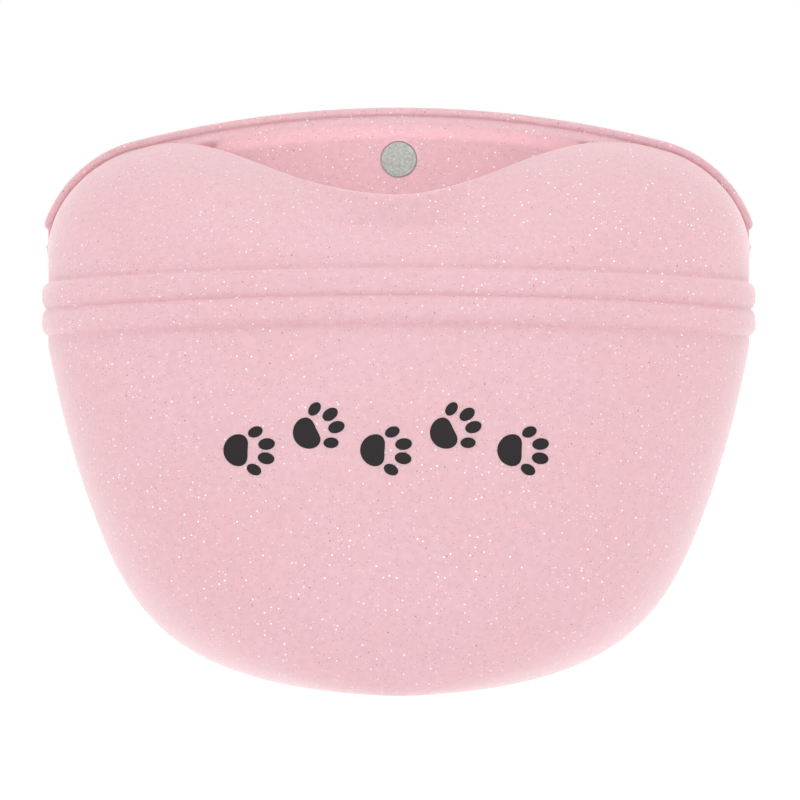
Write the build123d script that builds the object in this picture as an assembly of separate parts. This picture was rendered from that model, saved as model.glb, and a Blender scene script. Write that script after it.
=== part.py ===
from build123d import *
import os
from math import cos, pi, radians, sin, sqrt

# A moulded silicone treat pouch with a magnetic mouth and a sprung belt clip, in millimetres.
# The origin is the top middle of the belt slot in the clip. +X is to the right of someone facing the
# pouch's front, the front faces -Y, and +Z is up.

# --- silicone pouch ---
HEIGHT = 134.7           # base to top of the arched back panel
DEPTH = 50.0             # rear face to front of the belly
WALL = 2.5
HALF_WIDTH = 76.6        # half the width of the bag at mid height
TAPER = 0.215            # how much wider the top is than the base
TAPER_CURVE = 0.03
TOP_POWER = 3.9          # fullness of the outline's upper and lower corners
BASE_POWER = 6.0
BASE_Z = -95.0           # underside of the pouch
BACK_Y = -5.1            # rear face of the pouch

SIDE_ROLL = 42.0         # how far the sides, base and top draw in from the back to the front
BASE_ROLL = 32.0
TOP_ROLL = 75.0
FULL_CORNER = 2.6        # roundness of the front corners
SLOPED_CORNER = 1.7
SECTIONS = (0.0, 0.3, 0.55, 0.75, 0.88, 0.96, 1.0)
OUTLINE_STEPS = 24

ARCH_RADIUS = 245.0      # top edge of the back panel
ARCH_HALF_ANGLE = 14.42
CORNER_RADIUS = 29.6
TIP_ANGLE = 20.0
BEAD_RADIUS = 1.5

RIB_HEIGHT = 1.4
RIB_WIDTH = 5.9
RIB_HEIGHTS = (84.9, 91.1)   # middle of each rib's curve at its two ends
RIB_SPAN = 92.0              # half the length of that curve, which passes the sides
RIB_RISE = 3.0               # how much higher the curve is in the middle
RIB_START = 6.0              # the ribs start this far in front of the rear face

# --- mouth and lip ---
MOUTH_HALF_WIDTH = 54.0
LIP_LOW = 113.1          # lip edge at the middle, above the base
LIP_HIGH = 127.0         # lip edge at the mouth's corners
LIP_HALF_WIDTH = 22.0
LIP_FOOT = 100.2         # lower edge of the flexing part
LIP_KNEE = 105.0         # the lip is upright above this height
LIP_BACK = 31.5          # inner face of the upright band, in front of the rear face
LIP_FOOT_DEPTH = 38.5    # outer face at the lower edge
SLOPED_WALL = 3.1        # wall thickness measured level where it slopes
LIP_ROUND = 0.8
SOFT_GAP = 0.4

# --- magnets ---
MAGNET_RADIUS = 4.0
MAGNET_THICKNESS = 1.5
POCKET_DEPTH = 1.8
MAGNET_HEIGHT = 122.8
LIP_MAGNET_HEIGHT = 108.8

# --- belt clip ---
SLOT_HALF_GAP = 2.5      # half the belt slot's thickness
PLATE_WIDTH = 36.0
PLATE_TOP = 12.0
PLATE_BOTTOM = -47.0
PLATE_CORNER = 5.0
EDGE_ROUND = 0.8
JAW_WIDTH = 30.0
JAW_THICKNESS = 3.0
JAW_TIP = -46.5
PIVOT_Y = 1.9
PIVOT_Z = 4.0
BARREL_RADIUS = 4.0
BARREL_HALF = 12.2
WASHER_RADIUS = 3.4
WASHER_THICKNESS = 0.4
EAR_INNER = 12.8
EAR_OUTER = 16.0
EAR_RADIUS = 4.6
PIN_RADIUS = 1.5
PIN_CLEARANCE = 0.05
EAR_CLEARANCE = 1.2
WINDOW_HALF = 6.8        # window in the jaw for the spring
WINDOW_TOP = 13.0
WINDOW_BOTTOM = -0.5
THROUGH = 40.0           # a cut this deep passes right through the clip

# --- jaw outline, as Y and Z ---
BITE_Y = -0.9            # inner face of the tip, which closes on the belt
BITE_TOP = -39.0
BITE_BOTTOM = -43.0
BEND_Z = -34.5           # where the jaw starts to bend in towards the tip
TIP_FRONT = 1.6
TIP_REAR = 4.0
TIP_CHAMFER_Z = -42.0
TAB_FRONT = (9.0, 24.0)
TAB_REAR = (12.0, 22.6)
TAB_FRONT_ROOT = (0.5, 8.0)
TAB_REAR_ROOT_Z = 5.0
TAB_CORNER = 3.5
TIP_CORNER = 1.2

RIDGES = 4               # grip ridges on the thumb tab
RIDGE_RADIUS = 0.55
RIDGE_HALF = 10.5
FIRST_RIDGE = 0.5        # places along the tab, from 0 at its root to 1 at its end
RIDGE_STEP = 0.12

PAD_THICKNESS = 0.9
PAD_HEIGHT = 4.0
PAD_MARGIN = 2.0         # from the pad's ends to the jaw's sides
GROOVE_RADIUS = 0.35
GROOVE_STEP = 1.3

# --- spring ---
WIRE_RADIUS = 0.6
COIL_RADIUS = 2.7
COIL_HALF = 5.0
COIL_TURNS = 6
BASE_LEG_ANGLE = 173.0   # where each leg leaves the coil, from +Y towards +Z
JAW_LEG_ANGLE = 13.5
BASE_LEG_LENGTH = 7.6
JAW_LEG_LENGTH = 12.0

# --- fastening ---
RIVET_RADIUS = 1.5
RIVET_HEAD_RADIUS = 3.0
RIVET_HEAD = 1.1
HEAD_ROUND = 0.77
RIVET_X = 11.0
RIVET_Z = (-8.0, -30.0)
BACKING_WIDTH = 34.0
BACKING_HEIGHT = 34.0
BACKING_THICKNESS = 1.6


def front_plane(depth):
    """A plane facing the front, with its own origin on the pouch's centre line at the base."""
    return Plane(origin=(0, BACK_Y - depth, BASE_Z), x_dir=(1, 0, 0), z_dir=(0, -1, 0))


def side_plane(x):
    """A plane across the part, whose first axis is +Y and second is +Z."""
    return Plane(origin=(x, 0, 0), x_dir=(0, 1, 0), z_dir=(1, 0, 0))


def rolled(u, power):
    """How far a wall has drawn in at fraction u of the depth, from 0 at the back to 1."""
    return 1 - (1 - u ** power) ** (1 / power)


def relative_width(v):
    """Half width of the pouch's outline, where v runs from -1 at the base to 1 at the top."""
    power = TOP_POWER if v > 0 else BASE_POWER
    return sqrt(max(0.0, 1 - abs(v) ** power)) * (1 + TAPER * v - TAPER_CURVE * v * v)


def section(u, inset):
    """The bag's outline at fraction u of its depth, set in by a wall thickness."""
    half = HALF_WIDTH - SIDE_ROLL * rolled(u, FULL_CORNER) - inset
    low = BASE_ROLL * rolled(u, FULL_CORNER) + inset
    high = HEIGHT - TOP_ROLL * rolled(u, SLOPED_CORNER) - inset
    middle = (high + low) / 2
    points = []
    for step in range(OUTLINE_STEPS):
        turn = 2 * pi * step / OUTLINE_STEPS
        v = sin(turn)
        side = 1 if cos(turn) >= 0 else -1
        points.append((side * half * relative_width(v), middle + v * (high - low) / 2))
    return front_plane(u * (DEPTH - inset)) * make_face(Spline(*points, periodic=True))


def bag(inset):
    return loft([section(u, inset) for u in SECTIONS])


def slab(face, start, end):
    """A face drawn on the front plane, extruded between two depths."""
    return extrude(front_plane(start) * face, amount=end - start)


def rim_arcs(inset):
    """The arched edge of the back panel from tip to tip, on the front plane."""
    top = CenterArc((0, HEIGHT - ARCH_RADIUS), ARCH_RADIUS - inset, 90 - ARCH_HALF_ANGLE, 2 * ARCH_HALF_ANGLE)
    offset = ARCH_RADIUS - CORNER_RADIUS
    corner_x = offset * sin(radians(ARCH_HALF_ANGLE))
    corner_z = HEIGHT - ARCH_RADIUS + offset * cos(radians(ARCH_HALF_ANGLE))
    sweep_angle = 90 - ARCH_HALF_ANGLE - TIP_ANGLE
    right = CenterArc((corner_x, corner_z), CORNER_RADIUS - inset, TIP_ANGLE, sweep_angle)
    left = CenterArc((-corner_x, corner_z), CORNER_RADIUS - inset, 90 + ARCH_HALF_ANGLE, sweep_angle)
    return Wire([right, top, left])


def back_panel():
    """The flat rear wall up to its arched top, with a round bead along the arch."""
    arch = rim_arcs(BEAD_RADIUS / 2)
    panel = slab(make_face([arch, Line(arch @ 1, arch @ 0)]), 0, WALL)
    path = front_plane(BEAD_RADIUS) * rim_arcs(BEAD_RADIUS)
    bead = sweep(Plane(origin=path @ 0, z_dir=path % 0) * Circle(BEAD_RADIUS), path=path)
    return panel + bead + slab(make_face(rear_outline()), 0, WALL)


def rear_outline():
    """The bag's outline at the back, on the front plane's own axes."""
    return front_plane(0).to_local_coords(section(0.0, 0.0)).edges()


def ribs(body):
    """Two raised bands that run round the sides and front."""
    bands = []
    for height in RIB_HEIGHTS:
        low = height - RIB_WIDTH / 2
        lower = ThreePointArc((-RIB_SPAN, low), (0, low + RIB_RISE), (RIB_SPAN, low))
        upper = Pos(0, RIB_WIDTH) * lower
        ends = [Line(lower @ 1, upper @ 1), Line(upper @ 0, lower @ 0)]
        bands.append(slab(make_face([lower, upper, *ends]), RIB_START, DEPTH + RIB_HEIGHT))
    return body & (bands[0] + bands[1])


def mouth_cut():
    """All that lies above the lip's S-shaped edge, in front of the back panel."""
    third = MOUTH_HALF_WIDTH / 3
    right = Bezier((0, LIP_LOW), (third, LIP_LOW), (2 * third, LIP_HIGH), (3 * third, LIP_HIGH))
    left = Bezier((-3 * third, LIP_HIGH), (-2 * third, LIP_HIGH), (-third, LIP_LOW), (0, LIP_LOW))
    top = Polyline((3 * third, LIP_HIGH), (3 * third, HEIGHT), (-3 * third, HEIGHT), (-3 * third, LIP_HIGH))
    return slab(make_face([left, right, top]), WALL, DEPTH)


def pocket(depth, height, facing):
    """A round magnet pocket in a wall; facing is 1 to open to the front and -1 to the back."""
    face = Pos(0, height) * Circle(MAGNET_RADIUS)
    return slab(face, depth, depth + facing * POCKET_DEPTH)


def magnet(depth, height, facing):
    """A disc magnet at the bottom of its pocket."""
    face = Pos(0, height) * Circle(MAGNET_RADIUS)
    return slab(face, depth, depth + facing * MAGNET_THICKNESS)


def rivet_places():
    return [(x, z) for x in (-RIVET_X, RIVET_X) for z in RIVET_Z]


def along_y(radius, x, z, start, end):
    """A cylinder along Y between two Y values."""
    plane = Plane(origin=(x, start, z), x_dir=(1, 0, 0), z_dir=(0, 1, 0))
    return extrude(plane * Circle(radius), amount=end - start)


def along_x(radius, y, z, start, end):
    """A cylinder along X between two X values."""
    return extrude(side_plane(start) * (Pos(y, z) * Circle(radius)), amount=end - start)


def rivet_holes():
    holes = [along_y(RIVET_RADIUS, x, z, BACK_Y - 2 * WALL, 0) for x, z in rivet_places()]
    return holes[0] + holes[1] + holes[2] + holes[3]


def pouch_body():
    """The moulding without the flexing middle of the lip."""
    outside = bag(0) + ribs(bag(-RIB_HEIGHT))
    shell = outside - bag(WALL) - mouth_cut()
    window = Pos(0, LIP_FOOT - SOFT_GAP + HEIGHT / 2) * Rectangle(2 * (LIP_HALF_WIDTH + SOFT_GAP), HEIGHT)
    shell = shell - slab(window, 2 * WALL, DEPTH)
    shell = shell + back_panel()
    return shell - pocket(WALL, MAGNET_HEIGHT, -1) - rivet_holes()


def front_lip():
    """The middle of the lip: it slopes up from the belly to a band that stands upright."""
    front = LIP_BACK + WALL
    outline = [(front, LIP_LOW), (front, LIP_KNEE), (LIP_FOOT_DEPTH, LIP_FOOT),
               (LIP_FOOT_DEPTH - SLOPED_WALL, LIP_FOOT), (LIP_BACK, LIP_KNEE), (LIP_BACK, LIP_LOW)]
    profile = Polyline(*[(BACK_Y - depth, BASE_Z + height) for depth, height in outline], close=True)
    lip = extrude(side_plane(-LIP_HALF_WIDTH) * make_face(profile), amount=2 * LIP_HALF_WIDTH)
    top_edges = lip.edges().filter_by(Axis.X).sort_by(Axis.Z)[-2:]
    return fillet(top_edges, LIP_ROUND) - pocket(LIP_BACK, LIP_MAGNET_HEIGHT, 1)


def backing_plate():
    middle_z = sum(RIVET_Z) / 2 - BASE_Z
    face = Pos(0, middle_z) * RectangleRounded(BACKING_WIDTH, BACKING_HEIGHT, PLATE_CORNER)
    return slab(face, WALL, WALL + BACKING_THICKNESS) - rivet_holes()


def clip_base():
    """The fixed rear plate, with two ears for the pin and a recess for each rivet."""
    height = PLATE_TOP - PLATE_BOTTOM
    middle_z = (PLATE_TOP + PLATE_BOTTOM) / 2
    plane = Plane(origin=(0, BACK_Y, middle_z), x_dir=(-1, 0, 0), z_dir=(0, 1, 0))
    plate = extrude(plane * RectangleRounded(PLATE_WIDTH, height, PLATE_CORNER), amount=-BACK_Y - SLOT_HALF_GAP)
    plate = fillet(plate.edges().group_by(Axis.Y)[-1], EDGE_ROUND)
    for side in (-1, 1):
        start = min(side * EAR_INNER, side * EAR_OUTER)
        ear = along_x(EAR_RADIUS, PIVOT_Y, PIVOT_Z, start, start + EAR_OUTER - EAR_INNER)
        root_y = (BACK_Y + PIVOT_Y) / 2
        root = Pos((start * 2 + EAR_OUTER - EAR_INNER) / 2, root_y, PIVOT_Z)
        depth = PIVOT_Y - BACK_Y
        plate = plate + ear + root * Box(EAR_OUTER - EAR_INNER, depth, 2 * EAR_RADIUS)
    for x, z in rivet_places():
        head = along_y(RIVET_HEAD_RADIUS, x, z, -SLOT_HALF_GAP - RIVET_HEAD, 0)
        plate = plate - head
    return plate - rivet_holes() - along_x(PIN_RADIUS, PIVOT_Y, PIVOT_Z, -EAR_OUTER, EAR_OUTER)


def jaw_profiles():
    """Side views of the jaw below the pin and of the thumb tab above it."""
    rear = SLOT_HALF_GAP + JAW_THICKNESS
    arm = Polyline((SLOT_HALF_GAP, PIVOT_Z), (SLOT_HALF_GAP, BEND_Z), (BITE_Y, BITE_TOP), (BITE_Y, BITE_BOTTOM),
                   (TIP_FRONT, JAW_TIP), (TIP_REAR, JAW_TIP), (rear, TIP_CHAMFER_Z), (rear, PIVOT_Z), close=True)
    tab = Polyline(TAB_FRONT_ROOT, TAB_FRONT, TAB_REAR, (rear, TAB_REAR_ROOT_Z), (PIVOT_Y, PIVOT_Z), close=True)
    return arm, tab


def clip_lever():
    """The jaw and its thumb tab in one piece, with a window for the spring."""
    start = side_plane(-JAW_WIDTH / 2)
    arm, tab = (extrude(start * make_face(profile), amount=JAW_WIDTH) for profile in jaw_profiles())
    lever = arm + tab
    for side in (-1, 1):
        middle = Pos(side * (BARREL_HALF + JAW_WIDTH / 2), PIVOT_Y, PIVOT_Z)
        lever = lever - middle * Box(JAW_WIDTH, THROUGH, 2 * (EAR_RADIUS + EAR_CLEARANCE))
    lever = lever + along_x(BARREL_RADIUS, PIVOT_Y, PIVOT_Z, -BARREL_HALF, BARREL_HALF)
    window = Box(2 * WINDOW_HALF, THROUGH, WINDOW_TOP - WINDOW_BOTTOM)
    lever = lever - Pos(0, PIVOT_Y, (WINDOW_TOP + WINDOW_BOTTOM) / 2) * window
    lever = fillet(corner_edges(lever, TAB_REAR[1] - 1, TAB_FRONT[1] + 1), TAB_CORNER)
    lever = fillet(corner_edges(lever, JAW_TIP - 1, TIP_CHAMFER_Z + 1), TIP_CORNER)
    bore = along_x(PIN_RADIUS + PIN_CLEARANCE, PIVOT_Y, PIVOT_Z, -BARREL_HALF, BARREL_HALF)
    return lever + thumb_ridges() - bore


def corner_edges(solid, low, high):
    """The edges at the jaw's two sides that run through its thickness, between two heights."""
    edges = solid.edges().filter_by(Axis.X, reverse=True)
    edges = edges.filter_by(lambda edge: low < edge.center().Z < high)
    return edges.filter_by(lambda edge: edge.geom_type == GeomType.LINE and edge.length > 1
                           and abs(abs(edge.center().X) - JAW_WIDTH / 2) < 0.01
                           and is_across(edge))


def is_across(edge):
    """True for an edge that joins the front and rear faces, so that it leans more along Y than along Z."""
    way = edge % 0.5
    return abs(way.Y) > abs(way.Z)


def thumb_ridges():
    """Round bars across the rear face of the thumb tab, for grip."""
    foot = Vector(0, SLOT_HALF_GAP + JAW_THICKNESS, TAB_REAR_ROOT_Z)
    rise = Vector(0, *TAB_REAR) - foot
    bars = []
    for step in range(RIDGES):
        spot = foot + rise * (FIRST_RIDGE + RIDGE_STEP * step)
        bars.append(along_x(RIDGE_RADIUS, spot.Y, spot.Z, -RIDGE_HALF, RIDGE_HALF))
    return bars[0] + bars[1:]


def jaw_pad():
    """A soft strip on the inner face of the jaw's tip, with grooves across it for grip."""
    middle_z = (BITE_TOP + BITE_BOTTOM) / 2
    face_y = BITE_Y - PAD_THICKNESS
    strip = Pos(0, (BITE_Y + face_y) / 2, middle_z) * Box(JAW_WIDTH - 2 * PAD_MARGIN, PAD_THICKNESS, PAD_HEIGHT)
    for step in (-1, 0, 1):
        strip = strip - along_x(GROOVE_RADIUS, face_y, middle_z + step * GROOVE_STEP, -JAW_WIDTH / 2, JAW_WIDTH / 2)
    return strip


def pin_washers():
    """A thin washer on the pin at each end of the jaw's barrel."""
    gap = (EAR_INNER - BARREL_HALF - WASHER_THICKNESS) / 2
    parts = []
    for side in (-1, 1):
        start = side * (BARREL_HALF + gap) - (WASHER_THICKNESS if side < 0 else 0)
        ring = along_x(WASHER_RADIUS, PIVOT_Y, PIVOT_Z, start, start + WASHER_THICKNESS)
        hole = along_x(PIN_RADIUS, PIVOT_Y, PIVOT_Z, start, start + WASHER_THICKNESS)
        parts.append(ring - hole)
    return Compound(children=parts)


def hinge_pin():
    return along_x(PIN_RADIUS, PIVOT_Y, PIVOT_Z, -EAR_OUTER, EAR_OUTER)


def torsion_spring():
    """A coil round the pin, with one leg on the base and one on the jaw's window edge."""
    turn = COIL_TURNS * 360 - (BASE_LEG_ANGLE - JAW_LEG_ANGLE)
    pitch = 2 * COIL_HALF / (turn / 360)
    helix = Helix(pitch=pitch, height=2 * COIL_HALF, radius=COIL_RADIUS)
    helix = Plane(origin=(-COIL_HALF, PIVOT_Y, PIVOT_Z), x_dir=(0, 1, 0), z_dir=(1, 0, 0)) * (
        Rot(0, 0, BASE_LEG_ANGLE) * helix)
    start, start_way = helix @ 0, helix % 0
    end, end_way = helix @ 1, helix % 1
    coil = sweep(Plane(origin=start, z_dir=start_way) * Circle(WIRE_RADIUS), path=helix, is_frenet=True)
    base_leg = extrude(Plane(origin=start, z_dir=-start_way) * Circle(WIRE_RADIUS), amount=BASE_LEG_LENGTH)
    jaw_leg = extrude(Plane(origin=end, z_dir=end_way) * Circle(WIRE_RADIUS), amount=JAW_LEG_LENGTH)
    return coil + base_leg + jaw_leg


def clip_rivets():
    """Four rivets: a round head inside the pouch, and a flush head in the clip base."""
    inside = BACK_Y - WALL - BACKING_THICKNESS
    parts = []
    for x, z in rivet_places():
        shank = along_y(RIVET_RADIUS, x, z, inside, -SLOT_HALF_GAP - RIVET_HEAD)
        flush = along_y(RIVET_HEAD_RADIUS, x, z, -SLOT_HALF_GAP - RIVET_HEAD, -SLOT_HALF_GAP)
        head = along_y(RIVET_HEAD_RADIUS, x, z, inside - RIVET_HEAD, inside)
        head = fillet(head.edges().sort_by(Axis.Y)[0], HEAD_ROUND)
        parts.append(shank + flush + head)
    return Compound(children=parts)


PARTS = {
    "pouch_body": pouch_body,
    "front_lip": front_lip,
    "back_magnet": lambda: magnet(WALL - POCKET_DEPTH, MAGNET_HEIGHT, 1),
    "lip_magnet": lambda: magnet(LIP_BACK + POCKET_DEPTH, LIP_MAGNET_HEIGHT, -1),
    "backing_plate": backing_plate,
    "clip_base": clip_base,
    "clip_lever": clip_lever,
    "jaw_pad": jaw_pad,
    "pin_washers": pin_washers,
    "hinge_pin": hinge_pin,
    "torsion_spring": torsion_spring,
    "clip_rivets": clip_rivets,
}

os.makedirs("parts", exist_ok=True)
for name, make in PARTS.items():
    export_step(make(), f"parts/{name}.step")
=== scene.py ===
import math

import bmesh
import bpy
import numpy as np
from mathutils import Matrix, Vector
from mathutils.bvhtree import BVHTree


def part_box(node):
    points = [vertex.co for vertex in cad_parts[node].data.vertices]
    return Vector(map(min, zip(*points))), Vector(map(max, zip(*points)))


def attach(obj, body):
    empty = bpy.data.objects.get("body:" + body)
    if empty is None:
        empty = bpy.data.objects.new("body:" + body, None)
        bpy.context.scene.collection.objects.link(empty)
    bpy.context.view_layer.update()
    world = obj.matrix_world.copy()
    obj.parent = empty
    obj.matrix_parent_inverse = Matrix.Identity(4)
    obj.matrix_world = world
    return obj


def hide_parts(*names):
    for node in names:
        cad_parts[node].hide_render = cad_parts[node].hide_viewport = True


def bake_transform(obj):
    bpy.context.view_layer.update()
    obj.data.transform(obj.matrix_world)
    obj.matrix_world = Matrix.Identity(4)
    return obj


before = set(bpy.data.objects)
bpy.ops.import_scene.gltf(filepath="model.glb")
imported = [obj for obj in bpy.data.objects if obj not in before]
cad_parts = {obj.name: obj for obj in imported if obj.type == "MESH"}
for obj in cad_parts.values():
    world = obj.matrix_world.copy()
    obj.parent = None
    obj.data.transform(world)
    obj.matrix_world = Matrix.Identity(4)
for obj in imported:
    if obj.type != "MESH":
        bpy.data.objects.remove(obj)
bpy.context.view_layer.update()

# Lengths below are in millimetres. A point of the pouch is given by its x, its depth in front of the
# pouch's rear face, and its height above the pouch's base.
MM = 0.001
BODY_LOW, BODY_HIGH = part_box("pouch_body")
BASE = BODY_LOW.z
BACK = BODY_HIGH.y

# --- bag ---
SIDE_HALF = 80.64
SIDE_TOP = 80.0
SIDE_SLOPE = 14.5
SIDE_CURVE = 14.6
DEPTH = 50.0
TOP = 134.7
WALL = 2.4
PLAN_POWER = 2.8
BASE_FULLNESS = 8.75
BASE_ROUNDNESS = 2.2
BACK_CORNER = 3.0
BACK_ROLL = 7.0
BASE_ROLL = 22.0
BASE_ROLL_DEPTH = 14.0
BASE_ROLL_POWER = 2.3
UPPER_START = 97.0
LEAN_FROM = 35.0
LEAN = 9.6
LEAN_POWER = 1.8

# --- arch of the back panel ---
ARCH_RADIUS = 245.0
ARCH_HALF_ANGLE = math.radians(14.42)
CORNER_RADIUS = 29.6
ARCH_Z = TOP - ARCH_RADIUS
CORNER_X = (ARCH_RADIUS - CORNER_RADIUS) * math.sin(ARCH_HALF_ANGLE)
CORNER_Z = ARCH_Z + (ARCH_RADIUS - CORNER_RADIUS) * math.cos(ARCH_HALF_ANGLE)
RIM_TIP = math.radians(70.0)
SHOULDER_TIP = math.radians(82.0)
RIM_BAND = 1.9
PANEL_FRONT = 2.45

# --- ribs ---
RIB_HEIGHT = 1.5
RIB_HALF = 3.1
RIB_CENTRES = (85.15, 91.35)
RIB_ARCH = 2.8
CREASE = 0.4
CREASE_HALF = 0.9
RIB_SOFTNESS = 0.2
RIB_FULLNESS = 2.5
RIB_FADE = (3.0, 9.0)
ARCH_FADE_DEPTH = (3, 12)
ARCH_FADE_IN = (45, 80)
ARCH_FADE_OUT = (UPPER_START, 112)

# --- mouth ---
MOUTH_HALF = 61.0
MOUTH_CLOSES = 52.0
MOUTH_FOOT = 57.0
LIP_RISES_TO = 57.0
LIP_LOW = 112.9
LIP_SAG = 1.0
LIP_DEPTH = 34.0
LIP_UPRIGHT = 9.5
LIP_ROUND_ROWS = 9
SHOULDER_DEPTH = 2.2
SHOULDER_RISE = 1.45
SHOULDER_REACH = 1.35
SHOULDER_LANDING = 0.12
REAR_TOP_DEPTH = 0.35
REAR_THINNING = 0.6
LEAN_SLOPE = LEAN * LEAN_POWER / (UPPER_START - LEAN_FROM)

FRONT_COLUMNS = 400
BACK_COLUMNS = 48
CORNER_SHARE = 0.15
BASE_TOP = 20.0
BELLY_TOP = 82.0
BASE_ROWS = 25
BELLY_ROWS = 41
RIB_ROWS = 55
UPPER_ROWS = 44


def place(x, depth, height):
    """Points in metres from x, depth and height in millimetres."""
    return np.stack([x * MM, BACK - depth * MM, BASE + height * MM], axis=-1)


def smooth(a, b, value):
    t = np.clip((value - a) / (b - a), 0.0, 1.0)
    return t * t * (3 - 2 * t)


def half_width(h):
    """Half the bag's width below the mouth: a taper with a full, round base."""
    v = np.clip((SIDE_TOP - h) / SIDE_TOP, 0, 1)
    fullness = np.clip(1 - v ** BASE_FULLNESS, 0, 1) ** (1 / BASE_ROUNDNESS)
    return fullness * (SIDE_HALF - SIDE_SLOPE * v - SIDE_CURVE * v * v)


def roll(h, radius, power):
    """1 at the base, falling to 0 at a height, round like a mould's corner."""
    t = np.clip(1 - h / radius, 0, 1)
    return 1 - (1 - t ** power) ** (1 / power)


def middle_depth(h):
    """Depth of the front wall on the centre line, which leans back towards the top."""
    rising = np.clip((h - LEAN_FROM) / (UPPER_START - LEAN_FROM), 0, None)
    return DEPTH - LEAN * rising ** LEAN_POWER - BASE_ROLL_DEPTH * roll(h, BASE_ROLL, BASE_ROLL_POWER)


def arch_height(x, inset):
    """Height of the panel's edge above a place across the pouch."""
    top, corner = ARCH_RADIUS - inset, CORNER_RADIUS - inset
    past = np.abs(x) - CORNER_X
    on_top = ARCH_Z + np.sqrt(np.clip(top ** 2 - x ** 2, 0, None))
    return np.where(np.abs(x) < top * math.sin(ARCH_HALF_ANGLE), on_top,
                    CORNER_Z + np.sqrt(np.clip(corner ** 2 - past ** 2, 0, None)))


def lip_line(x):
    """Height of the lip's edge: an S from the low middle up to the arch, with a slight sag to the left."""
    drop = (TOP - RIM_BAND - LIP_LOW) * (1 - smooth(0, LIP_RISES_TO, np.abs(x)))
    turn = np.clip(np.abs(x) / LIP_RISES_TO, 0, 1) * math.pi
    return arch_height(x, RIM_BAND) - drop + LIP_SAG * np.sign(x) * np.sin(turn) ** 2


def lip_depth(x):
    """Depth of the lip's edge: the mouth is lens-shaped seen from above."""
    return SHOULDER_DEPTH + (LIP_DEPTH - SHOULDER_DEPTH) * (1 - smooth(0, MOUTH_CLOSES, np.abs(x)))


def arch_point(inset, turn):
    """A point of the panel's edge; turn is the angle from straight up, to the right."""
    on_top = np.abs(turn) < ARCH_HALF_ANGLE
    top, corner = ARCH_RADIUS - inset, CORNER_RADIUS - inset
    x = np.where(on_top, top * np.sin(turn), np.sign(turn) * CORNER_X + corner * np.sin(turn))
    z = np.where(on_top, ARCH_Z + top * np.cos(turn), CORNER_Z + corner * np.cos(turn))
    return x, z


def even_steps(count, power):
    """Columns spread evenly along a plan section's front, as fractions of its width and depth."""
    turn = np.linspace(math.pi, 0, 4001)
    c, s = np.cos(turn), np.sin(turn)
    x = np.sign(c) * np.abs(c) ** (2 / power)
    d = np.clip(s, 0, 1) ** (2 / power)
    run = np.concatenate([[0], np.cumsum(np.hypot(np.diff(x) * SIDE_HALF, np.diff(d) * DEPTH))])
    even = np.linspace(0, run[-1], count)
    return np.interp(even, run, x), np.interp(even, run, d), even / run[-1]


FRONT_X, FRONT_D, FRONT_RUN = even_steps(FRONT_COLUMNS, PLAN_POWER)


def back_section(width, back, corner):
    """The rear of a plan section: flat, with two round corners."""
    b = (np.arange(BACK_COLUMNS) + 0.5) / BACK_COLUMNS
    turn = np.clip(np.minimum(b, 1 - b) / CORNER_SHARE, 0, 1) * math.pi / 2
    side = np.where(b < 0.5, 1.0, -1.0)
    across = 1 - 2 * np.clip((b - CORNER_SHARE) / (1 - 2 * CORNER_SHARE), 0, 1)
    flat = (b > CORNER_SHARE) & (b < 1 - CORNER_SHARE)
    x = np.where(flat, (width - corner) * across, side * (width - corner + corner * np.cos(turn)))
    return x, back + corner * (1 - np.sin(turn))


def plan_section(h):
    """The bag's plan at one height: the front from left to right, then the rear from right to left."""
    width = float(half_width(np.array(h)))
    back = BACK_ROLL * float(roll(np.array(h), BACK_ROLL, 2.0))
    corner = min(BACK_CORNER, width * 0.5)
    depth = float(middle_depth(np.array(h)))
    rear_x, rear_d = back_section(width, back, corner)
    x = np.concatenate([width * FRONT_X, rear_x])
    d = np.concatenate([back + corner + (depth - back - corner) * FRONT_D, rear_d])
    return x, d


def lower_heights():
    """Heights of the rows below the mouth, close together over the ribs."""
    base = BASE_TOP * (np.arange(0, BASE_ROWS + 1) / BASE_ROWS) ** 2
    belly = np.linspace(BASE_TOP, BELLY_TOP, BELLY_ROWS + 1)[1:]
    ribs = np.linspace(BELLY_TOP, UPPER_START, RIB_ROWS + 1)[1:]
    return np.concatenate([base, belly, ribs])


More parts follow.
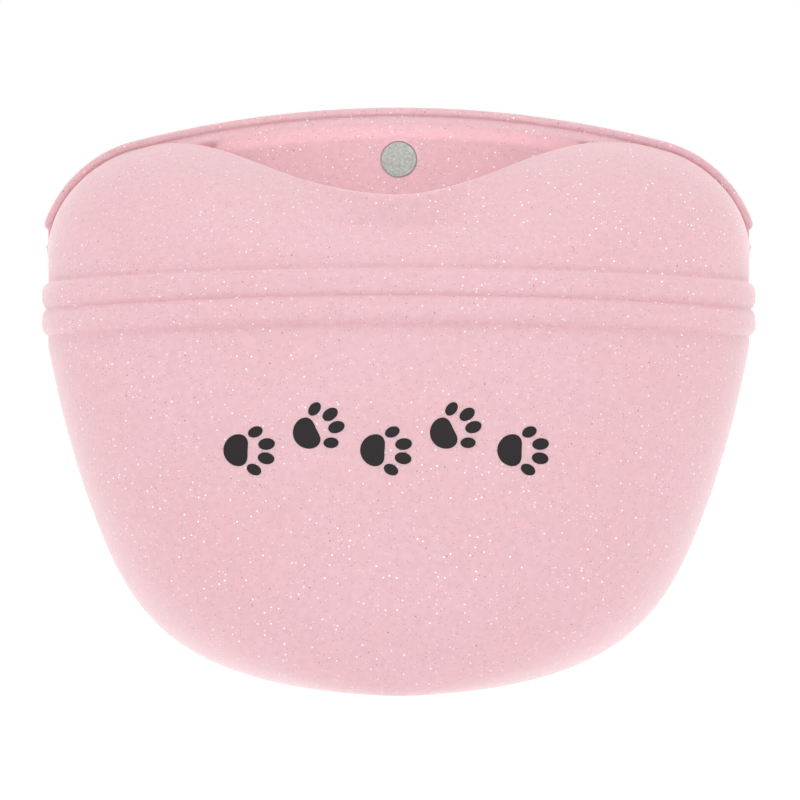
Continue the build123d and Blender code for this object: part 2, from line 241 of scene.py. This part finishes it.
def top_edge(x0, d0):
    """Where each column ends: on the lip in the middle, and on the panel outside the mouth."""
    side = np.sign(x0)
    lip_x = x0 * MOUTH_HALF / MOUTH_FOOT
    start = math.asin((MOUTH_HALF - CORNER_X) / (CORNER_RADIUS - RIM_BAND))
    right = slice(FRONT_COLUMNS // 2, None)
    foot_run = (np.interp(MOUTH_FOOT, FRONT_X[right] * SIDE_HALF, FRONT_RUN[right]) - 0.5) / 0.5
    run = np.abs(FRONT_RUN - 0.5) / 0.5
    share = np.clip((run - foot_run) / (1 - foot_run), 0, 1)
    arch_x, arch_z = arch_point(RIM_BAND, start + share * (SHOULDER_TIP - start))
    x, d, z = x0.copy(), d0.copy(), np.zeros_like(x0)
    front = np.arange(len(x0)) < FRONT_COLUMNS
    in_mouth = front & (np.abs(lip_x) <= MOUTH_HALF)
    outside = front & ~in_mouth
    x[in_mouth], d[in_mouth], z[in_mouth] = (v[in_mouth] for v in (lip_x, lip_depth(lip_x), lip_line(lip_x)))
    pick = outside[:FRONT_COLUMNS]
    x[outside], z[outside] = side[outside] * arch_x[pick], arch_z[pick]
    d[outside] = SHOULDER_DEPTH
    cornered = np.clip(d0 / BACK_CORNER, 0, 1)
    tip_x, tip_z = arch_point(RIM_BAND, np.array(SHOULDER_TIP))
    rear = ~front
    x[rear] = x0[rear] + side[rear] * cornered[rear] * (tip_x - SIDE_HALF)
    z[rear] = tip_z - 1.0 + cornered[rear]
    d[rear] = REAR_TOP_DEPTH + (SHOULDER_DEPTH - REAR_TOP_DEPTH) * cornered[rear]
    return x, d, z


def hermite(t, start, start_pull, end, end_pull):
    return ((2 * t ** 3 - 3 * t ** 2 + 1) * start + (t ** 3 - 2 * t ** 2 + t) * start_pull
            + (3 * t ** 2 - 2 * t ** 3) * end + (t ** 3 - t ** 2) * end_pull)


def lip_profile(t, x0, d0, z1):
    """The lip's middle: it leans back from the ribs, then stands upright."""
    z = UPPER_START + t * (z1 - UPPER_START)
    u = np.clip((z - UPPER_START) / LIP_UPRIGHT, 0, 1)
    return hermite(u, d0, -LEAN_SLOPE * LIP_UPRIGHT, LIP_DEPTH, 0.0), z


def shoulder_profile(t, d0, z1, lean):
    """A shoulder: it rises from the ribs and rolls over backwards on to the panel."""
    rise, reach = z1 - UPPER_START, d0 - SHOULDER_DEPTH
    up = SHOULDER_RISE * rise
    d = hermite(t, d0, -lean * up, SHOULDER_DEPTH, -SHOULDER_REACH * reach)
    return d, hermite(t, UPPER_START, up, z1, SHOULDER_LANDING * rise)


def bag_grid():
    """The bag's outer surface as rows and columns of x, depth and height, without its ribs."""
    rows = []
    for h in lower_heights():
        x, d = plan_section(h)
        rows.append((x, d, np.full(x.shape, h)))
    x0, d0 = rows[-1][:2]
    x1, d1, z1 = top_edge(x0, d0)
    front = np.arange(len(x0)) < FRONT_COLUMNS
    middle = np.where(front, 1 - smooth(0, MOUTH_CLOSES, np.abs(x1)), 0)
    frontness = np.clip(d0 / middle_depth(np.array(UPPER_START)), 0, 1)
    for t in np.linspace(0, 1, UPPER_ROWS + 1)[1:]:
        lip_d, lip_z = lip_profile(t, x0, d0, z1)
        roll_d, roll_z = shoulder_profile(t, d0, z1, LEAN_SLOPE * frontness)
        d = np.where(front, lip_d * middle + roll_d * (1 - middle), d0 + (d1 - d0) * t)
        z = np.where(front, lip_z * middle + roll_z * (1 - middle), UPPER_START + (z1 - UPPER_START) * t)
        rows.append((x0 + (x1 - x0) * t * t, d, z))
    return tuple(np.array([row[i] for row in rows]) for i in range(3))


def rib_bump(h):
    """Two rounded ribs side by side with a soft crease between them and a soft foot on either side."""
    fine = np.arange(UPPER_START - 22, UPPER_START + 4, 0.05)
    bump = np.zeros_like(fine)
    for centre in RIB_CENTRES:
        q = np.clip(np.abs(fine - centre) / RIB_HALF, 0, 1)
        bump = np.maximum(bump, RIB_HEIGHT * (1 - q ** RIB_FULLNESS) ** 0.5)
    for foot in (RIB_CENTRES[0] - RIB_HALF, RIB_CENTRES[1] + RIB_HALF):
        bump = bump - CREASE * np.exp(-((fine - foot) / CREASE_HALF) ** 2)
    spread = np.arange(-1.5, 1.55, 0.05)
    kernel = np.exp(-0.5 * (spread / RIB_SOFTNESS) ** 2)
    return np.interp(h, fine, np.convolve(bump, kernel / kernel.sum(), "same"), 0, 0)


def grid_normals(points):
    """Outward normals of a grid that is closed round its columns."""
    along = np.roll(points, -1, axis=1) - np.roll(points, 1, axis=1)
    up = np.empty_like(points)
    up[1:-1] = points[2:] - points[:-2]
    up[0] = points[1] - points[0]
    up[-1] = points[-1] - points[-2]
    normal = np.cross(along, up)
    length = np.linalg.norm(normal, axis=-1, keepdims=True)
    normal = normal / np.maximum(length, 1e-12)
    normal[0] = (0, 0, -1)
    return normal


def mesh_object(name, verts, faces):
    mesh = bpy.data.meshes.new(name)
    mesh.from_pydata([tuple(v) for v in verts], [], faces)
    mesh.validate()
    obj = bpy.data.objects.new(name, mesh)
    bpy.context.scene.collection.objects.link(obj)
    return obj


def weld(obj, distance=1e-6):
    """Joins doubled points and turns every face outwards."""
    bm = bmesh.new()
    bm.from_mesh(obj.data)
    bmesh.ops.remove_doubles(bm, verts=bm.verts, dist=distance)
    bmesh.ops.dissolve_degenerate(bm, dist=distance, edges=bm.edges)
    bmesh.ops.recalc_face_normals(bm, faces=bm.faces)
    bm.to_mesh(obj.data)
    bm.free()
    return obj


def grid_faces(rows, columns, offset=0):
    faces = []
    for r in range(rows - 1):
        for c in range(columns):
            n = (c + 1) % columns
            a = offset + r * columns
            faces.append((a + c, a + n, a + columns + n, a + columns + c))
    return faces


def make_bag():
    """The bowl-shaped wall with its round lip: outer surface, lip and inner surface in one closed mesh."""
    x, d, h = bag_grid()
    bow = 1 - np.clip(np.abs(x) / SIDE_HALF, 0, 1) ** 2
    near_ribs = smooth(*ARCH_FADE_IN, h) * (1 - smooth(*ARCH_FADE_OUT, h))
    arch = RIB_ARCH * bow * smooth(*ARCH_FADE_DEPTH, d) * near_ribs
    wall = np.stack([x, -d, h + arch], axis=-1)
    normal = grid_normals(wall)
    outer = wall + normal * (rib_bump(h) * smooth(*RIB_FADE, d))[..., None]
    rear = np.arange(x.shape[1]) >= FRONT_COLUMNS
    thinning = np.where(rear, REAR_THINNING * smooth(UPPER_START - 7, UPPER_START + 3, h), 0)
    inner = wall - normal * (WALL - thinning)[..., None]
    up = outer[-1] - outer[-2]
    up = up / np.linalg.norm(up, axis=-1, keepdims=True)
    middle, arm = (outer[-1] + inner[-1]) / 2, (outer[-1] - inner[-1]) / 2
    reach = np.linalg.norm(arm, axis=-1, keepdims=True)
    turns = np.linspace(0, math.pi, LIP_ROUND_ROWS)[1:-1]
    lip = [middle + arm * math.cos(a) + up * reach * math.sin(a) for a in turns]
    grid = np.concatenate([outer, np.array(lip), inner[::-1]])
    rows, columns = grid.shape[:2]
    points = place(grid[..., 0], -grid[..., 1], grid[..., 2]).reshape(-1, 3)
    return weld(mesh_object("bag", points, grid_faces(rows, columns)), 2e-5)


PANEL_REAR = 0.05
PANEL_FOOT = 93.0
PANEL_SIDE = SIDE_HALF - 1.2
PANEL_INSET = 0.75
PANEL_STEPS = 240


def make_panel():
    """The upper back panel: a plate whose lower part is sunk in the bag's rear wall."""
    arch_x, arch_z = arch_point(PANEL_INSET, np.linspace(RIM_TIP, -RIM_TIP, PANEL_STEPS))
    side_x, side_z = (float(v) for v in arch_point(RIM_BAND, np.array(SHOULDER_TIP)))
    right = [(PANEL_SIDE, PANEL_FOOT), (PANEL_SIDE, side_z - 2.0), (side_x - 0.4, side_z)]
    outline = right + list(zip(arch_x, arch_z)) + [(-x, z) for x, z in right[::-1]]
    count = len(outline)
    verts = [place(np.array(x), np.array(depth), np.array(z))
             for depth in (PANEL_REAR, PANEL_FRONT) for x, z in outline]
    faces = [tuple(range(count)), tuple(range(2 * count - 1, count - 1, -1))]
    faces += [(i, (i + 1) % count, count + (i + 1) % count, count + i) for i in range(count)]
    return weld(mesh_object("panel", verts, faces))


RIM_DEPTH = 3.0
RIM_CROWN = 0.5
RIDGE_INSET = 3.9
RIDGE_HEIGHT = 1.4
RIDGE_END = 7.6
RIM_PROFILE_WIDTH = 9.0
RIM_MIDDLE = (1.3, 1.5)
RIM_STEPS = 330
RIM_END_STEPS = 7
RIM_END_REACH = 1.5
RIM_REAR = ((RIM_PROFILE_WIDTH, 0.6), (3.0, 0.2), (0.7, 0.05), (0.35, 0.15), (0.1, 0.35), (0.0, 0.7))


def rim_front(inset):
    """Depth of the rim's front: a half-round band, a groove, then a ridge that fades into the panel."""
    across = np.clip(np.abs(inset - RIM_BAND / 2) / (RIM_BAND / 2), 0, 1)
    band = RIM_DEPTH - 0.1 + (RIM_CROWN + 0.1) * (1 - across ** 2.4) ** 0.5
    ridge = RIM_DEPTH + RIDGE_HEIGHT * smooth(RIM_BAND - 0.2, RIDGE_INSET, inset)
    fade = smooth(RIDGE_INSET, RIDGE_END, inset)
    sunk = 0.15 * smooth(RIDGE_END, RIM_PROFILE_WIDTH, inset)
    inner = ridge * (1 - fade) + (PANEL_FRONT + 0.05) * fade - sunk
    return np.where(inset < RIM_BAND, band, inner)


def make_rim():
    """The rim along the panel's arch from tip to tip, with round ends."""
    edge, groove = np.linspace(0, 0.7, 7), np.linspace(0.8, 4.6, 28)
    inset = np.concatenate([edge, groove, np.linspace(4.9, RIM_PROFILE_WIDTH, 14)])
    rear_inset, rear_depth = np.array(RIM_REAR).T
    profile_inset = np.concatenate([inset, rear_inset])
    profile_depth = np.concatenate([rim_front(inset), rear_depth])
    ends = np.linspace(0, math.pi / 2, RIM_END_STEPS + 1)[:-1]
    tips = [RIM_TIP] * RIM_END_STEPS
    turn = np.concatenate([tips, np.linspace(RIM_TIP, -RIM_TIP, RIM_STEPS), np.negative(tips)])
    reach = RIM_END_REACH * np.cos(ends)
    beyond = np.concatenate([reach, np.zeros(RIM_STEPS), reach[::-1]])
    size = np.concatenate([np.sin(ends), np.ones(RIM_STEPS), np.sin(ends[::-1])])
    size[0] = size[-1] = 0.02
    verts = []
    middle_inset, middle_depth_in = RIM_MIDDLE
    for angle, past, scale in zip(turn, beyond, size):
        x, z = arch_point(middle_inset + (profile_inset - middle_inset) * scale,
                          np.full(profile_inset.shape, angle))
        side = math.copysign(1, angle)
        x, z = x + side * past * math.cos(angle), z - past * abs(math.sin(angle))
        verts.append(place(x, middle_depth_in + (profile_depth - middle_depth_in) * scale, z))
    columns = len(profile_inset)
    faces = grid_faces(len(turn), columns)
    last = (len(turn) - 1) * columns
    faces += [tuple(range(columns)), tuple(range(last + columns - 1, last - 1, -1))]
    return weld(mesh_object("rim", np.concatenate(verts), faces), 5e-6)


def combine(obj, others, operation):
    """Joins or cuts closed meshes, and removes the others."""
    for other in others:
        modifier = obj.modifiers.new("combine", "BOOLEAN")
        modifier.operation = operation
        modifier.solver = "MANIFOLD"
        modifier.object = other
    graph = bpy.context.evaluated_depsgraph_get()
    mesh = bpy.data.meshes.new_from_object(obj.evaluated_get(graph))
    obj.modifiers.clear()
    obj.data = mesh
    for other in others:
        bpy.data.objects.remove(other)
    return obj


POCKET_RADIUS = 4.1
POCKET_SPOKES = 64
BACK_POCKET_FLOOR = 1.8
LIP_POCKET_FLOOR = 1.85
LIP_INNER_DEPTH = 31.6
# Steps of the flared mouth: how far outside the pocket's radius, and how far out of the wall.
POCKET_FLARE = ((0.0, -0.45), (0.15, -0.15), (0.6, 0.02), (1.2, 0.6))


def pocket_cutter(name, depth, facing, height, floor):
    """A round pocket's cutter; depth is the wall's face, and facing is 1 for the front."""
    flare = [(POCKET_RADIUS + wider, out) for wider, out in POCKET_FLARE]
    profile = [(0.0, -floor), (POCKET_RADIUS, -floor), *flare, (0.0, flare[-1][1])]
    verts = []
    for r, out in profile:
        for k in range(POCKET_SPOKES):
            a = 2 * math.pi * k / POCKET_SPOKES
            verts.append(place(np.array(r * math.cos(a)), np.array(depth + facing * out),
                               np.array(height + r * math.sin(a))))
    return weld(mesh_object(name, verts, grid_faces(len(profile), POCKET_SPOKES)))


def node_middle(node):
    low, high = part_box(node)
    return (low + high) / 2


# The panel's flat front and rear are faces with hundreds of corners, and they are shaded flat.
LARGE_FACE_CORNERS = 40
SHARP_ANGLE = math.radians(42)
STRIP_EDGES = np.linspace(-76.0, 76.0, 20)


def split_large_faces(obj):
    """Cuts the large flat faces into upright strips of plain triangles."""
    bm = bmesh.new()
    bm.from_mesh(obj.data)
    large = [f for f in bm.faces if len(f.verts) >= LARGE_FACE_CORNERS]
    for across in STRIP_EDGES:
        edges, corners = {e for f in large for e in f.edges}, {v for f in large for v in f.verts}
        cut = bmesh.ops.bisect_plane(bm, geom=[*large, *edges, *corners], dist=1e-7,
                                     plane_co=(across * MM, 0, 0), plane_no=(1, 0, 0))
        large = [g for g in cut["geom"] if isinstance(g, bmesh.types.BMFace)]
    bmesh.ops.triangulate(bm, faces=large, quad_method="BEAUTY", ngon_method="BEAUTY")
    bm.to_mesh(obj.data)
    bm.free()
    return obj


def make_skin():
    """The whole silicone moulding as one closed mesh."""
    skin = combine(make_bag(), [make_panel(), make_rim()], "UNION")
    skin.name = "pouch_skin"
    back_height = (node_middle("back_magnet").z - BASE) / MM
    lip_height = (node_middle("lip_magnet").z - BASE) / MM
    cutters = [pocket_cutter("back_pocket", PANEL_FRONT, 1, back_height, BACK_POCKET_FLOOR),
               pocket_cutter("lip_pocket", LIP_INNER_DEPTH, -1, lip_height, LIP_POCKET_FLOOR)]
    skin = combine(skin, cutters, "DIFFERENCE")
    skin.data.set_sharp_from_angle(angle=SHARP_ANGLE)
    for face in skin.data.polygons:
        face.use_smooth = len(face.vertices) < LARGE_FACE_CORNERS
    return split_large_faces(skin)


def bend_lip(skin):
    """Reads the skin's points, then bakes its transform into its mesh."""
    count = len(skin.data.vertices)
    points = np.empty(count * 3)
    skin.data.vertices.foreach_get("co", points)
    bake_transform(skin)


skin = make_skin()
bend_lip(skin)
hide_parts("pouch_body", "front_lip")


# --- printed trail of paws ---
PRINT_MIDDLE = (-2.5, 58.5)
PRINT_STEP = 15.5
PRINT_COUNT = 5
PRINT_SWAY = 2.6
PRINT_TILT = math.radians(14)
PAW_SIZE = 11.5
INK_PROUD = 0.12
INK_SUNK = 0.35
# One pad and four toes: across, up, half-width, half-height and lean, as shares of the paw's size.
PAW_SHAPES = ((0.0, -0.16, 0.30, 0.24, 0.0),
              (-0.37, 0.08, 0.105, 0.15, 0.42), (-0.14, 0.31, 0.115, 0.165, 0.14),
              (0.14, 0.31, 0.115, 0.165, -0.14), (0.37, 0.08, 0.105, 0.15, -0.42))
PAD_SPOKES = 40
PAD_RINGS = (1.0, 0.96, 0.8, 0.6, 0.4, 0.2)
PAD_NARROWING = 0.34
PAD_DIP = 0.07
WALKING = math.radians(-78)


def pad_outline(shape, angle):
    """One pad's outline; the main pad is drawn in at the top like a rounded triangle."""
    across, up, wide, high, lean = shape
    x, y = wide * np.cos(angle), high * np.sin(angle)
    if lean == 0.0:
        x = x * (1 - PAD_NARROWING * np.sin(angle))
        y = y + PAD_DIP * np.cos(2 * angle) - PAD_DIP
    turn_x = x * math.cos(lean) - y * math.sin(lean)
    turn_y = x * math.sin(lean) + y * math.cos(lean)
    return across + turn_x, up + turn_y


def add_pad(verts, faces, outline, settle):
    """One inked pad: rings from its sunk edge in to its middle, and a hidden underside."""
    px, py = outline
    cx, cy = px.mean(), py.mean()
    base = len(verts)
    for ring, share in enumerate((1.0,) + PAD_RINGS):
        rise = -INK_SUNK if ring == 0 else INK_PROUD * (0.35 if ring == 1 else 1.0)
        for k in range(PAD_SPOKES):
            verts.append(settle(cx + (px[k] - cx) * share, cy + (py[k] - cy) * share, rise))
    verts.append(settle(cx, cy, INK_PROUD))
    for ring in range(len(PAD_RINGS)):
        for k in range(PAD_SPOKES):
            n = (k + 1) % PAD_SPOKES
            a, b = base + ring * PAD_SPOKES, base + (ring + 1) * PAD_SPOKES
            faces.append((a + k, a + n, b + n, b + k))
    last, tip = base + len(PAD_RINGS) * PAD_SPOKES, len(verts) - 1
    faces += [(last + k, last + (k + 1) % PAD_SPOKES, tip) for k in range(PAD_SPOKES)]
    faces.append(tuple(base + k for k in reversed(range(PAD_SPOKES))))


def make_print(surface):
    """Thin ink pads laid on the bag's front, with their edges sunk into it."""
    tree = BVHTree.FromObject(surface, bpy.context.evaluated_depsgraph_get())
    angle = np.linspace(0, 2 * math.pi, PAD_SPOKES, endpoint=False)
    verts, faces = [], []
    for step in range(PRINT_COUNT):
        side = 1 if step % 2 else -1
        tilt = WALKING + side * PRINT_TILT
        along = PRINT_STEP * (step - (PRINT_COUNT - 1) / 2)
        middle = (PRINT_MIDDLE[0] + along, PRINT_MIDDLE[1] + side * PRINT_SWAY)

        def settle(u, v, rise):
            return on_front(tree, middle, tilt, u * PAW_SIZE, v * PAW_SIZE, rise)

        for shape in PAW_SHAPES:
            add_pad(verts, faces, pad_outline(shape, angle), settle)
    return mesh_object("paw_print", verts, faces)


def on_front(tree, middle, tilt, u, v, rise):
    """A point a little above or below the bag's front, at a place in a tilted paw."""
    x = middle[0] + u * math.cos(tilt) - v * math.sin(tilt)
    z = middle[1] + u * math.sin(tilt) + v * math.cos(tilt)
    start = Vector((x * MM, BACK - 0.2, BASE + z * MM))
    point, normal, _, _ = tree.ray_cast(start, Vector((0, 1, 0)))
    return point + normal * (rise * MM)


paws = make_print(skin)
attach(paws, "pouch")


# --- materials ---
def new_material(name):
    material = bpy.data.materials.new(name)
    material.use_nodes = True
    nodes, links = material.node_tree.nodes, material.node_tree.links
    return material, nodes, links, nodes["Principled BSDF"]


def add_node(nodes, kind, **values):
    node = nodes.new(kind)
    for key, value in values.items():
        if key in node.inputs:
            node.inputs[key].default_value = value
        else:
            setattr(node, key, value)
    return node


def object_coords(nodes, links):
    return nodes.new("ShaderNodeTexCoord").outputs["Object"]


def noise(nodes, links, coords, size, detail=3.0, rough=0.5):
    """Noise whose features are about a size in metres."""
    node = add_node(nodes, "ShaderNodeTexNoise", Scale=1 / size, Detail=detail, Roughness=rough)
    links.new(coords, node.inputs["Vector"])
    return node.outputs["Fac"]


def remap(nodes, links, value, low, high, to_low, to_high):
    node = nodes.new("ShaderNodeMapRange")
    node.inputs["From Min"].default_value = low
    node.inputs["From Max"].default_value = high
    node.inputs["To Min"].default_value = to_low
    node.inputs["To Max"].default_value = to_high
    links.new(value, node.inputs["Value"])
    return node.outputs["Result"]


def mix_colour(nodes, links, factor, a, b):
    node = nodes.new("ShaderNodeMix")
    node.data_type = "RGBA"
    links.new(factor, node.inputs[0])
    for socket, value in ((node.inputs[6], a), (node.inputs[7], b)):
        if isinstance(value, tuple):
            socket.default_value = (*value, 1.0)
        else:
            links.new(value, socket)
    return node.outputs[2]


def multiply(nodes, links, a, b):
    node = nodes.new("ShaderNodeMath")
    node.operation = "MULTIPLY"
    links.new(a, node.inputs[0])
    links.new(b, node.inputs[1])
    return node.outputs[0]


def specks(nodes, links, coords, spacing, radius, share):
    """A mask of scattered round specks: some cells of a size hold one."""
    cells = add_node(nodes, "ShaderNodeTexVoronoi", Scale=1 / spacing)
    links.new(coords, cells.inputs["Vector"])
    near = remap(nodes, links, cells.outputs["Distance"], radius * 0.7, radius, 1.0, 0.0)
    split = nodes.new("ShaderNodeSeparateColor")
    links.new(cells.outputs["Color"], split.inputs["Color"])
    chosen = remap(nodes, links, split.outputs["Red"], 1 - share, 1 - share + 0.01, 0.0, 1.0)
    return multiply(nodes, links, near, chosen)


def bump(nodes, links, shader, value, strength, distance):
    node = nodes.new("ShaderNodeBump")
    node.inputs["Strength"].default_value = strength
    node.inputs["Distance"].default_value = distance
    links.new(value, node.inputs["Height"])
    links.new(node.outputs["Normal"], shader.inputs["Normal"])


def silicone_material():
    """Soft pink silicone, slightly milky, with silver glitter and a few dark flakes in it."""
    material, nodes, links, shader = new_material("pink_silicone")
    coords = object_coords(nodes, links)
    clouds = remap(nodes, links, noise(nodes, links, coords, 0.030), 0.35, 0.65, 0.0, 1.0)
    fine = remap(nodes, links, noise(nodes, links, coords, 0.0016, 4.0, 0.6), 0.3, 0.7, 0.0, 1.0)
    cool = mix_colour(nodes, links, fine, (0.512, 0.308, 0.340), (0.552, 0.344, 0.377))
    warm = mix_colour(nodes, links, fine, (0.506, 0.302, 0.324), (0.546, 0.339, 0.361))
    colour = mix_colour(nodes, links, clouds, cool, warm)
    crowding = remap(nodes, links, noise(nodes, links, coords, 0.045), 0.35, 0.6, 0.35, 1.0)
    motes = specks(nodes, links, coords, 0.0007, 0.24, 0.45)
    dust = specks(nodes, links, coords, 0.0009, 0.22, 0.34)
    flakes = specks(nodes, links, coords, 0.0022, 0.09, 0.32)
    flecks = multiply(nodes, links, specks(nodes, links, coords, 0.0015, 0.155, 0.5), crowding)
    colour = mix_colour(nodes, links, motes, colour, (0.37, 0.215, 0.24))
    colour = mix_colour(nodes, links, dust, colour, (0.62, 0.47, 0.50))
    colour = mix_colour(nodes, links, flakes, colour, (0.20, 0.12, 0.135))
    colour = mix_colour(nodes, links, flecks, colour, (0.84, 0.80, 0.81))
    links.new(colour, shader.inputs["Base Color"])
    links.new(remap(nodes, links, fine, 0.0, 1.0, 0.52, 0.62), shader.inputs["Roughness"])
    shader.subsurface_method = "BURLEY"
    shader.inputs["Subsurface Weight"].default_value = 0.6
    shader.inputs["Subsurface Radius"].default_value = (1.0, 0.3, 0.35)
    shader.inputs["Subsurface Scale"].default_value = 0.0012
    shader.inputs["Specular IOR Level"].default_value = 0.4
    shader.inputs["Sheen Weight"].default_value = 0.4
    shader.inputs["Sheen Roughness"].default_value = 0.5
    shader.inputs["Sheen Tint"].default_value = (1.0, 0.95, 0.96, 1.0)
    bump(nodes, links, shader, fine, 0.15, 0.0002)
    return material


def metal_material(name, colour, rough, streak, dimming=0.72, relief=0.12):
    """Plated or drawn metal with fine scratches."""
    material, nodes, links, shader = new_material(name)
    coords = object_coords(nodes, links)
    grain = remap(nodes, links, noise(nodes, links, coords, streak, 6.0, 0.7), 0.3, 0.7, 0.0, 1.0)
    dim = tuple(c * dimming for c in colour)
    links.new(mix_colour(nodes, links, grain, dim, colour), shader.inputs["Base Color"])
    links.new(remap(nodes, links, grain, 0, 1, rough - 0.08, rough + 0.1), shader.inputs["Roughness"])
    shader.inputs["Metallic"].default_value = 1.0
    bump(nodes, links, shader, grain, relief, 0.0001)
    return material


def plastic_material(name, colour, grain_size):
    """Moulded plastic with a fine spark-eroded texture."""
    material, nodes, links, shader = new_material(name)
    coords = object_coords(nodes, links)
    grain = remap(nodes, links, noise(nodes, links, coords, grain_size, 5.0, 0.6), 0.3, 0.7, 0.0, 1.0)
    soft = remap(nodes, links, noise(nodes, links, coords, 0.012), 0.35, 0.65, 0.0, 1.0)
    dark = tuple(c * 0.9 for c in colour)
    tint = mix_colour(nodes, links, soft, dark, colour)
    links.new(tint, shader.inputs["Base Color"])
    links.new(remap(nodes, links, grain, 0, 1, 0.42, 0.58), shader.inputs["Roughness"])
    bump(nodes, links, shader, grain, 0.25, 0.00015)
    return material


SILICONE = silicone_material()
MAGNET = metal_material("nickel_plate", (0.42, 0.445, 0.41), 0.36, 0.0006, 0.45, 0.7)
STEEL = metal_material("drawn_steel", (0.62, 0.62, 0.63), 0.3, 0.0006)
PLASTIC = plastic_material("clip_plastic", (0.80, 0.50, 0.54), 0.0004)
PAD = plastic_material("grip_rubber", (0.10, 0.09, 0.095), 0.0003)
INK = plastic_material("print_ink", (0.014, 0.011, 0.012), 0.0003)
INK.node_tree.nodes["Principled BSDF"].inputs["Specular IOR Level"].default_value = 0.15

NODE_MATERIALS = {
    "back_magnet": MAGNET, "lip_magnet": MAGNET, "backing_plate": PLASTIC, "clip_base": PLASTIC,
    "clip_lever": PLASTIC, "jaw_pad": PAD, "pin_washers": STEEL, "hinge_pin": STEEL,
    "torsion_spring": STEEL, "clip_rivets": STEEL,
}
for node, material in NODE_MATERIALS.items():
    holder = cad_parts[node]
    for place_in in holder.material_slots:
        place_in.material = material
skin.data.materials.clear()
skin.data.materials.append(SILICONE)
paws.data.materials.append(INK)

# --- camera, light and floor ---
MIDDLE_Z = BASE + 67.35 * MM
VIEW_WIDTH = 0.1836
VIEW_DISTANCE = 2.5


def make_camera():
    data = bpy.data.cameras.new("camera")
    camera = bpy.data.objects.new("camera", data)
    bpy.context.scene.collection.objects.link(camera)
    camera.location = (0.0003, BACK - 0.012 - VIEW_DISTANCE, MIDDLE_Z)
    camera.rotation_euler = (math.radians(90), 0, 0)
    data.sensor_width = 36
    data.lens = 36 * VIEW_DISTANCE / VIEW_WIDTH
    data.clip_start = 0.01
    bpy.context.scene.camera = camera


def area_light(name, at, towards, size, watts):
    """A soft rectangular light; its size is a width and a height."""
    data = bpy.data.lights.new(name, "AREA")
    data.shape = "RECTANGLE"
    data.size, data.size_y = size
    data.energy = watts
    light = bpy.data.objects.new(name, data)
    bpy.context.scene.collection.objects.link(light)
    light.location = at
    light.rotation_euler = (Vector(towards) - Vector(at)).to_track_quat("-Z", "Y").to_euler()
    light.visible_camera = False


FLOOR_HALF = 12.0
FLOOR_DROP = 0.06
LIGHT_TARGET = (0, BACK - 0.02, MIDDLE_Z)


def make_floor():
    """A pale floor just under the pouch, lit like a light table."""
    z = BASE - FLOOR_DROP
    corners = [(x * FLOOR_HALF, y * FLOOR_HALF, z) for x, y in ((-1, -1), (1, -1), (1, 1), (-1, 1))]
    floor = mesh_object("floor", corners, [(0, 1, 2, 3)])
    material, nodes, links, shader = new_material("pale_paper")
    coords = object_coords(nodes, links)
    grain = remap(nodes, links, noise(nodes, links, coords, 0.3), 0.3, 0.7, 0.0, 1.0)
    paper = mix_colour(nodes, links, grain, (0.89, 0.89, 0.89), (0.91, 0.91, 0.91))
    links.new(paper, shader.inputs["Base Color"])
    shader.inputs["Roughness"].default_value = 0.9
    shader.inputs["Emission Color"].default_value = (1, 1, 1, 1)
    shader.inputs["Emission Strength"].default_value = 0.25
    floor.data.materials.append(material)


def make_stage():
    make_floor()
    world = bpy.data.worlds.new("studio")
    world.use_nodes = True
    world.node_tree.nodes["Background"].inputs["Color"].default_value = (1, 1, 1, 1)
    world.node_tree.nodes["Background"].inputs["Strength"].default_value = 1.0
    bpy.context.scene.world = world
    bpy.context.scene.view_settings.view_transform = "Standard"
    area_light("top", (0.0, -0.30, 1.1), LIGHT_TARGET, (0.5, 0.5), 4.0)
    area_light("front", (0.0, -1.5, 0.25), LIGHT_TARGET, (0.5, 0.5), 5.4)
    area_light("left", (-1.3, -0.1, 0.3), LIGHT_TARGET, (0.7, 0.7), 2.5)
    area_light("right", (1.3, -0.1, 0.3), LIGHT_TARGET, (0.7, 0.7), 2.5)
    area_light("rear", (0.0, 1.5, 0.35), LIGHT_TARGET, (0.7, 0.7), 3.0)
    inside = (0.0, BACK - 0.038, BASE + 0.025)
    area_light("glow", inside, (0.0, BACK - 0.006, BASE + 0.120), (0.08, 0.015), 0.09)


make_camera()
make_stage()
